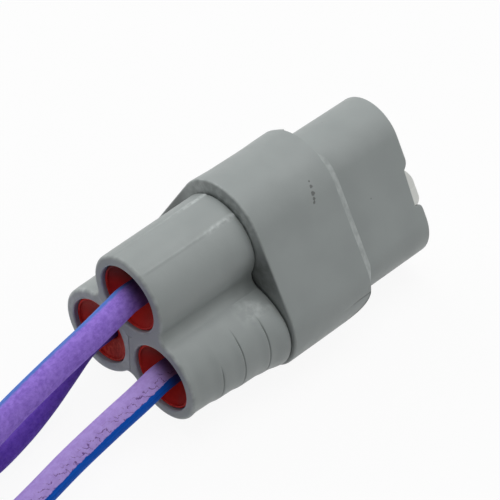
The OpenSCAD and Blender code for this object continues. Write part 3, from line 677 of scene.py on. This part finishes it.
# Front body: shroud, well, nose with its notches, pocket for the lock and cavities for the contacts; here too
# a form fades in from the first to the second of a pair
frontBody = dict(shroudRadius=7.6, shroudOffset=6.8, start=15.9, rim=29.6, wall=0.9, wellFloor=22.6,
                 wellRound=0.12, backRound=0.3, cutRadius=3.6, cutPower=1.8, lipStart=29.46, lipEnd=30.52,
                 lipDepth=0.44, lipLeast=0.03, lipLow=(1.5, 0.5), topTaper=(22.0, 33.0),
                 lowTaper=(40.0, 60.0), taperPower=0.8,
                 lipRows=((0.0, 0.8), (0.05, 1.0), (0.5, 1.0), (0.96, 1.0), (1.0, 0.0)),
                 creaseDepth=0.16, creaseAt=0.05, creaseHalf=0.14, creaseAlong=(24.9, 27.6), creaseStep=0.5,
                 creaseUpper=(-0.05, 0.25), creaseLower=(6.5, 4.0), creaseShade=0.8, creaseShadeHalf=0.12,
                 creaseShadeAlong=(25.5, 28.0), waist=0.12, waistBack=(16.2, 19.5), waistFront=(28.5, 24.5),
                 waistUp=(6.0, 9.0), paintedShadeSide=(60.0, 38.0), paintedShadeMost=(8.0, 28.0), paintedShadeLeast=0.3,
                 paleTop=(53.0, 64.0), palePaintedLight=1.9, roundShading=0.6, ringShading=0.85,
                 noseRadius=5.6, noseOffset=6.9, noseEnd=42.8, noseWall=1.1, noseRound=0.2, mouthRound=0.15,
                 mouthDepth=2.2, seat=0.8, seatEnd=26.05, seatBevel=0.1, pocketFloor=39.3,
                 notchUpper=(-2.8, -1.4), notchLower=(3.8, 4.75), notchDepth=0.94, notchSlant=0.05,
                 notchPower=2.4,
                 notchCurve=((0.0, 1.0), (0.09, 0.33), (0.2, 0.2), (0.35, 0.1), (0.5, 0.05), (0.7, 0.015)),
                 spigotFloor=19.25, spigotInset=0.85, spigotBevel=0.15, ringInset=-0.9, ringShare=0.75,
                 cavityRadius=1.8, barrelRadius=1.5, cavityStep=26.1, stemRadius=2.55, stemFloor=30.25,
                 arcSteps=120, stemSteps=20)
latch = dict(halfWidth=3.5, root=24.0, tip=33.5, low=-10.8, high=-9.9, hookHeight=0.6, hookLength=1.6,
             round=0.2, topShape=(0, 0, 1, 1, 0.12, -0.1), tipShrink=0.12, tipLength=0.1)


def notchAt(columns, body):  # depth of the notches: a slanted floor and walls that round over
    reach = body["noseOffset"] * sin60
    upperSide = np.isclose(columns["turn"] % 360, 30) | np.isclose(columns["turn"] % 360, 150)
    sense = np.where(columns["lobe"] == 90, -1, 1)  # positive towards the lower lobe
    away = reach * (1 - columns["share"]) * sense
    mouth, foot = body["notchUpper"]
    upper = np.clip((away - mouth) / (foot - mouth), 0, 1) ** body["notchPower"]
    foot, mouth = body["notchLower"]
    past, height = np.array([*body["notchCurve"], (mouth - foot, 0.0)]).T
    lower = np.interp(away, foot + past, height)
    return (body["notchDepth"] + body["notchSlant"] * (away - 1)) * upper * lower * upperSide


def stemArc(radius, lobe, steps):  # part of the stem's circle that faces one contact
    return polar(radius, lobe + np.linspace(60, -60, steps + 1)) + shroudMiddle


def stemRing(radius, steps):  # the three arcs in turn
    return np.concatenate([stemArc(radius, lobe, steps) for lobe in (90.0, 330.0, 210.0)])


def blindHole(ring, mouth, floor):  # wall and floor of a hole with a ring as its outline
    return gridPatch(np.stack([laid(ring, mouth), laid(ring, floor), laid(0 * ring + shroudMiddle, floor)]))


def latchFinger(f):  # rounded rectangle carried along the finger, its top raised by the hook
    hook = f["tip"] - f["hookLength"]
    along = np.array([f["root"], hook, hook, hook + f["hookLength"] / 2, f["tip"] - f["tipLength"], f["tip"]])
    top = f["high"] + f["hookHeight"] * np.array(f["topShape"])
    shrink = np.array([0, 0, 0, 0, 0, f["tipShrink"]])
    corner = np.radians(np.linspace(0, 90, 6))
    cosine, sine = f["round"] * np.cos(corner), f["round"] * np.sin(corner)
    reach = f["halfWidth"] - f["round"]
    across = np.concatenate([reach + cosine, -reach - cosine[::-1], -reach - cosine, reach + cosine[::-1]])
    lift = np.concatenate([sine, sine[::-1], -sine, -sine[::-1]])
    upper = np.arange(len(lift)) < 2 * len(corner)
    up = np.where(upper, top[:, None] - f["round"] - shrink[:, None] + lift,
                  f["low"] + f["round"] + shrink[:, None] + lift)
    flat = np.stack([np.broadcast_to(across, up.shape), up + plug["axisRise"]], axis=-1)
    points = laid(flat, along[:, None])
    ends = np.broadcast_to(points.mean(axis=1, keepdims=True), points.shape)
    return gridPatch(np.concatenate([ends[:1], points, ends[-1:]]))


def makeFrontBody(body):  # rounded triangle of changing radius carried along the axis, with the holes in it
    reach = body["noseOffset"] * sin60
    walls = [np.linspace(*ends, 21) for ends in (body["notchUpper"], body["notchLower"])]
    stations = np.abs(np.concatenate([np.linspace(0, reach, 13)[:-1], *walls]))
    columns = triangleColumns(np.unique(np.round(stations, 4)) / reach, body["arcSteps"])
    notch = notchAt(columns, body)
    nose, shroud, end, start = take(body, "noseOffset shroudOffset noseEnd start")
    rows = []  # (points across, station along, wear and painted light and shade)

    def addRow(offset, radius, along, wearAndPaintedLight=0.0):
        flat = triangleAt(columns, offset, radius)
        rows.append((flat, np.broadcast_to(along, flat.shape[:2]), np.broadcast_to(wearAndPaintedLight, flat.shape[:2])))

    # Nose, from its pocket over the rim and back to the seat of the seal
    inner, outer, deep = body["noseRadius"] - body["noseWall"], body["noseRadius"], end - body["mouthDepth"]
    addRow(nose, inner, body["pocketFloor"])
    addRow(nose, inner, deep)
    for inset, drop in roundSteps(body["mouthRound"], 4)[::-1]:
        addRow(nose, inner + inset, end - notch - drop)
    for inset, drop in roundSteps(body["noseRound"], 8):
        addRow(nose, outer - inset, end - notch - drop, math.sin(math.pi * drop / body["noseRound"]))
    for along in np.linspace(deep, body["seatEnd"] + body["seatBevel"], 8):
        addRow(nose, outer, along)
    addRow(nose, outer - body["seatBevel"], body["seatEnd"])
    addRow(nose, outer - body["seat"], body["seatEnd"])
    addRow(nose, outer - body["seat"], body["wellFloor"])

    # Shroud, from its well over the lip and back to its rear face
    wide, well = body["shroudRadius"], body["shroudRadius"] - body["wall"]
    outline = triangleAt(columns, shroud, wide)
    below = -shroud / 2 + plug["axisRise"] - outline[..., 1]  # under the corners' middle

    def rimAt(radius):  # rim, back under the corners on (1 - depth ** p) ** (1 / p), then straight
        cut, power = body["cutRadius"], body["cutPower"]
        depth = np.clip(below * radius / wide / cut, 0, 1)
        return body["rim"] - cut + cut * (1 - depth ** power) ** (1 / power)

    local, least = np.abs(columns["local"]), body["lipLeast"]
    taper = np.where(columns["lobe"] == 90, smoothStep(*body["topTaper"], local),
                     smoothStep(*body["lowTaper"], local) ** body["taperPower"])  # gone around the corners
    fade = np.maximum(taper, columns["share"] > 0) * smoothStep(*body["lipLow"], below)
    lip = least + (body["lipDepth"] - least) * fade
    foot = rimAt(wide) - least + (body["lipStart"] - body["rim"] + least) * fade
    tip = rimAt(wide) + (body["lipEnd"] - body["rim"]) * fade
    addRow(shroud, well, body["wellFloor"])
    for inset, drop in roundSteps(body["wellRound"], 4)[::-1]:
        addRow(shroud, well + inset, rimAt(well) + tip - rimAt(wide) - drop)
    # painted light on the lip's strip along the rim
    for t, wearAndPaintedLight in body["lipRows"]:
        addRow(shroud, wide - lip * (1 - t), (1 - t) * tip + t * foot, wearAndPaintedLight)
    step = smoothStep(*body["creaseUpper"], below) * smoothStep(*body["creaseLower"], below)
    groove = np.exp(-((below - body["creaseAt"]) / body["creaseHalf"]) ** 2) + body["creaseStep"] * step
    # painted shade along the crease
    grooveShade = -body["creaseShade"] * np.exp(-((below - body["creaseAt"]) / body["creaseShadeHalf"]) ** 2)
    for t in np.concatenate([[0.006], np.linspace(0.06, 1, 9)]):
        along = (1 - t) * foot + t * (start + body["backRound"])
        waist = body["waist"] * smoothStep(*body["waistBack"], along) * smoothStep(*body["waistFront"], along)
        waist = waist * smoothStep(*body["waistUp"], outline[..., 1])
        crease = body["creaseDepth"] * groove * smoothStep(*body["creaseAlong"], along)
        addRow(shroud, wide - crease - waist, along, grooveShade * smoothStep(*body["creaseShadeAlong"], along))
    around = np.degrees(np.arctan2(outline[..., 1], np.abs(outline[..., 0])))
    most = body["paintedShadeLeast"] + (1 - body["paintedShadeLeast"]) * smoothStep(*body["paintedShadeMost"], around)
    paintedShading = -smoothStep(*body["paintedShadeSide"], around) * most  # painted shade, most by the valleys
    paintedShading = paintedShading + body["palePaintedLight"] * smoothStep(*body["paleTop"], around)  # and painted light on the top of the rear face
    # rubbed rear edge with a painted highlight, and the painted shade and light of the rear face on the round
    for inset, drop in roundSteps(body["backRound"], 6)[::-1]:
        share = drop / body["backRound"]
        wearAndPaintedLight = math.sin(math.pi * share) * share + body["roundShading"] * (1 - share) * paintedShading
        addRow(shroud, wide - inset, start + drop, wearAndPaintedLight)

    # Rear face and the socket for the cap's spigot
    edge, bevel = rows[-1][0], body["spigotBevel"]
    profile = (body["ringInset"], start), (bevel, start), (0.0, start + bevel), (0.0, body["spigotFloor"])
    for inset, along in profile:
        flat = trefoilPolar(edge, rearCap["tubeRadius"], rearCap["valleyRadius"], body["spigotInset"] - inset)
        ring = inset < 0  # a ring on the face, part of the way from the edge to the cap
        flat = edge + body["ringShare"] * (flat - edge) if ring else flat
        rows.append((flat, np.full(flat.shape[:2], along), paintedShading * (body["ringShading"] if ring else 1.0)))
    flats, alongs, wearsAndPaintedLight = (np.stack(part) for part in zip(*rows))
    count = len(rows)
    patches = [gridPatch(laid(flats, alongs).reshape(count, -1, 3), wearsAndPaintedLight.reshape(count, -1))]
    steps = body["stemSteps"]
    for index, lobe in enumerate(plug["lobes"]):
        contact = polar(plug["contactOffset"], lobe)
        backLoop, backWay = lobeLoop(flats[-1][index], np.zeros((steps + 1, 2)), contact)
        frontLoop, frontWay = lobeLoop(flats[0][index], stemArc(body["stemRadius"], lobe, steps), contact)
        wideHole, slimHole = (contact + r * backWay for r in take(body, "cavityRadius barrelRadius"))
        mouth = contact + body["barrelRadius"] * frontWay
        patches.append(gridPatch(np.concatenate([
            laid(between(backLoop, wideHole), body["spigotFloor"]), laid(wideHole[None], body["cavityStep"]),
            laid(slimHole[None], body["cavityStep"]), laid(between(mouth, frontLoop), body["pocketFloor"])])))
    patches.append(blindHole(stemRing(body["stemRadius"], steps), body["pocketFloor"], body["stemFloor"]))
    patches.append(latchFinger(latch))
    newPiece("frontBody", patches, greyPlastic, "front_body")


makeFrontBody(frontBody)

# Wedge lock: white plate in the nose with pin holes and a puller slot, a stem between the cavities and a tab
# in each notch; a fall of a tab's top is (start, run, drop)
wedgeLock = dict(offset=6.9, radius=4.45, back=39.3, front=42.9, edge=0.2, backBevel=0.1, grooveAt=0.6,
                 grooveHalf=0.08, grooveDepth=0.06, pinRadius=1.2, pinBevel=0.5, slotHalf=(1.7, 0.6),
                 slotDepth=2.0, stemRadius=2.5, stemEnd=30.3, stemBevel=0.3, stemTaper=0.88, steps=20,
                 tabHalf=2.45, tabFoot=41.88, tabTop=42.92, tabFace=8.9, tabRoot=7.0, tabShift=1.22,
                 tabEdge=0.12, tabFalls=((-0.5, -1.95, 0.75), (1.6, 0.85, 0.55)), dentAt=0.1, dentHalf=0.06,
                 dentDepth=0.06)


def slotPath(index, lock):  # part of the slot's outline that faces one contact, from corner to corner
    x, y = lock["slotHalf"]
    corners = [[(-x, y), (0, y), (x, y)], [(0, -y), (-x, -y), (-x, y)], [(x, y), (x, -y), (0, -y)]][index]
    t = np.linspace(0, 2, lock["steps"] + 1)
    return np.stack([np.interp(t, [0, 1, 2], part) for part in zip(*corners)], axis=-1) + shroudMiddle


def wedgeTab(turn, way, lock):
    # low arch in a notch: flat along its middle, falling with the square towards both ends, carried outwards
    across = lock["tabHalf"] * np.sin(np.linspace(-np.pi / 2, np.pi / 2, 61))
    shifted = lock["tabShift"] + across
    foot = lock["tabFoot"] - frontBody["notchSlant"] * (shifted - 1)  # along the notch's floor
    high = lock["tabTop"] - foot
    for start, run, fall in lock["tabFalls"]:
        high = high - fall * np.clip((across - start) / run, 0, 1) ** 2
    inset, drop = roundSteps(lock["tabEdge"], 5).T
    root, face = take(lock, "tabRoot tabFace")
    depth = np.concatenate([[root], face - inset, [face, root]])[:, None]
    front = np.repeat([1.0, 0.0], [len(depth) - 2, 2])[:, None]
    sunk = np.concatenate([[0], drop, [0, 0]])[:, None] * np.minimum(1, high / (3 * lock["tabEdge"]))
    dent = lock["dentDepth"] * np.exp(-((across - lock["dentAt"]) / lock["dentHalf"]) ** 2)
    flat = polar(depth - dent * (depth > root), turn) + polar(shifted, way)  # shallow line across the middle
    points = laid(flat + shroudMiddle, foot + front * (high - sunk))
    ends = np.broadcast_to(points.mean(axis=0), points.shape)
    closed = np.concatenate([ends[:, :1], points, ends[:, -1:]], axis=1)
    return gridPatch(closed, closeRows=True, closeColumns=False)


def makeWedgeLock(lock):  # the plate's edge as a rounded triangle, its holes, slot, stem and tabs
    columns = triangleColumns(np.linspace(0, 1, 13)[:-1], 40)
    back, front, bevel, half = take(lock, "back front backBevel grooveHalf")
    groove = front - lock["grooveAt"]
    profile = [(bevel, back), (0.0, back + bevel), (0.0, groove - half), (lock["grooveDepth"], groove),
               (0.0, groove + half)]
    profile += [(inset, front - drop) for inset, drop in roundSteps(lock["edge"], 6)[::-1]]
    outline = [triangleAt(columns, lock["offset"], lock["radius"] - inset) for inset, along in profile]
    shell = np.stack([laid(flat, along) for flat, (inset, along) in zip(outline, profile)])
    patches = [gridPatch(shell.reshape(len(profile), -1, 3))]
    for index, lobe in enumerate(plug["lobes"]):
        contact = polar(plug["contactOffset"], lobe)
        frontLoop, frontWay = lobeLoop(outline[-1][index], slotPath(index, lock), contact)
        arc = stemArc(lock["stemRadius"], lobe, lock["steps"])
        backLoop, backWay = lobeLoop(outline[0][index], arc, contact)
        mouth = contact + (lock["pinRadius"] + lock["pinBevel"]) * frontWay
        throat, outlet = contact + lock["pinRadius"] * frontWay, contact + lock["pinRadius"] * backWay
        patches.append(gridPatch(np.concatenate([
            laid(between(frontLoop, mouth), front), laid(throat[None], front - lock["pinBevel"]),
            laid(between(outlet, backLoop), back)])))
    slot = np.concatenate([slotPath(index, lock) for index in (0, 2, 1)])
    patches.append(blindHole(slot, front, front - lock["slotDepth"]))
    stem, end = stemRing(lock["stemRadius"], lock["steps"]), lock["stemEnd"]
    tip = shroudMiddle + lock["stemTaper"] * (stem - shroudMiddle)
    patches.append(gridPatch(np.stack([laid(stem, back), laid(stem, end + lock["stemBevel"]), laid(tip, end),
                                       laid(0 * stem + shroudMiddle, end)])))
    patches += [wedgeTab(150.0, 240.0, lock), wedgeTab(30.0, 300.0, lock)]
    newPiece("wedgeLock", patches, whitePlastic, "wedge_lock")


makeWedgeLock(wedgeLock)

# Wire seals: a funnel inside a raised round bead, ribs along the bore, one around each lead
wireSeal = dict(radius=4.65, hole=1.8, bead=0.2, dishes=(2.2, 2.2, 1.1), length=11.1, ribStart=0.2,
                ribDepth=0.5, insets=(0.5, 0.5, 0.3), holeRise=(0.12, 0.15), beadFoot=(0.05, 0.1),
                shadeWay=75.0, shadeReach=(-0.1, 0.9), lowerPaintedLightReach=(0.2, -0.8), unshadedReach=(0.4, 1.0),
                lowerPaintedLight=(0.0, 0.0, 2.0), shade=(0.95, 0.65, 0.5), sides=96)


def makeWireSeal(index, seal):  # profile of (radius, station) turned around the contact's axis
    r, hole, bead, length, dish = *take(seal, "radius hole bead length"), seal["dishes"][index]
    (rise, sink), (aside, under) = take(seal, "holeRise beadFoot")
    over = np.radians(np.linspace(180, 0, 13))
    ribs = np.linspace(seal["ribStart"], 1, 41) * length
    wave = 0.5 - 0.5 * np.cos(4 * np.pi * (ribs / length - seal["ribStart"]) / (1 - seal["ribStart"]))
    slope = np.linspace(0, 1, 9)
    radius = np.concatenate([[hole] * 2, hole + rise + slope * (r - 2 * bead - aside - rise - hole),
                             r - bead + bead * np.cos(over), r - seal["ribDepth"] * wave, [hole]])
    along = np.concatenate([[length * 0.5, dish + sink], dish - (dish - bead - under) * slope,
                            bead - bead * np.sin(over), ribs, [length]])
    # the bead's crest carries a painted highlight
    wornAndPaintedLight = np.concatenate([np.zeros(2 + len(slope)), np.sin(over), np.zeros(len(ribs) + 1)])[:, None]
    way = polar(1.0, 360.0 * np.arange(seal["sides"]) / seal["sides"])
    flat = polar(plug["contactOffset"], plug["lobes"][index]) + radius[:, None, None] * way
    points = laid(flat, along[:, None] + seal["insets"][index])
    facing = way @ polar(1.0, seal["shadeWay"])
    unshaded = smoothStep(*seal["unshadedReach"], wornAndPaintedLight) * (index > 0)  # only the lower beads are left out of the painted shade
    paintedShading = smoothStep(*seal["shadeReach"], facing) * (1 - unshaded)  # painted shade on the upper part
    # painted light on the lower part of the third seal
    dustAndPaintedLight = seal["lowerPaintedLight"][index] * smoothStep(*seal["lowerPaintedLightReach"], facing)
    wornAndPaintedLight = wornAndPaintedLight * (1 - paintedShading) + dustAndPaintedLight - seal["shade"][index] * paintedShading
    newPiece(f"wireSeal_{index + 1}", [gridPatch(points, wornAndPaintedLight, closeRows=True)], redRubber,
             f"wire_seal_{index + 1}", 60.0)


for index in range(3):
    makeWireSeal(index, wireSeal)

# Interface seal: ring around the nose's root with two round ribs
interfaceSeal = dict(offset=6.9, inner=4.85, outer=5.65, bevel=0.15, rib=0.4, ribPower=0.7, margin=0.04,
                     start=22.6, length=3.4)


def makeInterfaceSeal(seal):  # outer radius raised by two cosine ribs along the ring
    columns = triangleColumns(np.linspace(0, 1, 7)[:-1], 40)
    share = np.linspace(0, 1, 25)
    height = np.clip(-np.cos(4 * np.pi * share), 0, 1) ** seal["ribPower"]
    inner, outer, bevel, margin = take(seal, "inner outer bevel margin")
    radius = np.concatenate([[inner, outer - bevel], outer + seal["rib"] * height, [outer - bevel, inner]])
    run = np.concatenate([[0, 0], margin + (1 - 2 * margin) * share, [1, 1]])
    along = seal["start"] + seal["length"] * run
    flat = np.stack([triangleAt(columns, seal["offset"], r) for r in radius])
    points = laid(flat, along[:, None, None]).reshape(len(radius), -1, 3)
    newPiece("interfaceSeal", [gridPatch(points, closeRows=True)], redRubber,
             "interface_seal", 60.0)


makeInterfaceSeal(interfaceSeal)

# Contacts, sleeves and stripped conductors keep their solids and get a metal finish
for index in range(1, 4):
    for node, metal in (("socket_contact", "contact"), ("contact_sleeve", "sleeve"), ("conductor", "copper")):
        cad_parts[f"{node}_{index}"].material_slots[0].material = metals[metal]
print("contacts finished")

# Stage: pale floor that stays white to the camera and keeps a soft shadow, and three round lamps, one above,
# one on the far side and a weaker one in front on the near side; in metres
stage = dict(halfSize=1.2, height=-0.00005, floorColour=screen(235, 235, 235), floorRough=0.9,
             whiteShare=0.92, world=0.12, lampSize=0.5, lampAim=(0, 0, 0.01),
             lamps=[dict(place=(0.1, 0.0, 0.592), power=1.92), dict(place=(0.0, 0.46, 0.386), power=1.44),
                    dict(place=(0.325, -0.325, 0.386), power=0.6)])


def seenOf(tree):  # 1 for a ray from the camera, from a glossy surface or through glass
    path = addNode(tree, "ShaderNodeLightPath").outputs
    direct = mathOf(tree, "MAXIMUM", path["Is Camera Ray"], path["Is Glossy Ray"])
    return mathOf(tree, "MAXIMUM", direct, path["Is Transmission Ray"])


def makeFloor(s):  # flat grid, white to the camera by a glow mixed over its own shade
    edge = np.linspace(-s["halfSize"], s["halfSize"], 5)
    x, y = np.meshgrid(edge, edge)
    mesh = bpy.data.meshes.new("floor")
    mesh.from_pydata(np.stack([x, y, 0 * x + s["height"]], axis=-1).reshape(-1, 3).tolist(), [],
                     gridFaces(5, 5, closeColumns=False).tolist())
    material, tree, shader = newMaterial("paleFloor")
    shader.inputs["Base Color"].default_value = s["floorColour"]
    shader.inputs["Roughness"].default_value = s["floorRough"]
    shader.inputs["Specular IOR Level"].default_value = 0.0
    glow = addNode(tree, "ShaderNodeEmission", Color=(1, 1, 1, 1), Strength=1.0)
    mixed = addNode(tree, "ShaderNodeMixShader", _0=times(tree, seenOf(tree), s["whiteShare"]),
                    _1=shader.outputs[0], _2=glow.outputs[0])
    tree.links.new(mixed.outputs[0], tree.nodes["Material Output"].inputs["Surface"])
    mesh.materials.append(material)
    floor = bpy.data.objects.new("floor", mesh)
    scene.collection.objects.link(floor)


def makeLight(s):  # weak even light from the world, and round lamps that face the plug
    scene.world = bpy.data.worlds.new("studio")
    scene.world.use_nodes = True
    sky = scene.world.node_tree
    strength = addNode(sky, "ShaderNodeMapRange", _0=seenOf(sky), _3=s["world"], _4=1.0).outputs[0]
    sky.nodes["Background"].inputs["Color"].default_value = (1, 1, 1, 1)
    sky.links.new(strength, sky.nodes["Background"].inputs["Strength"])
    for number, lamp in enumerate(s["lamps"], 1):
        data = bpy.data.lights.new(f"softbox_{number}", "AREA")
        data.shape, data.size, data.energy = "DISK", s["lampSize"], lamp["power"]
        light = bpy.data.objects.new(f"softbox_{number}", data)
        place, aim = np.array(lamp["place"]), np.array(s["lampAim"])
        back = (place - aim) / np.linalg.norm(place - aim)
        right = np.cross([0, 1, 0], back)
        right /= np.linalg.norm(right)
        light.matrix_world = placed([right, np.cross(back, right), back], place)
        scene.collection.objects.link(light)


makeFloor(stage)
makeLight(stage)
scene.view_settings.view_transform = "Standard"
print("stage set")
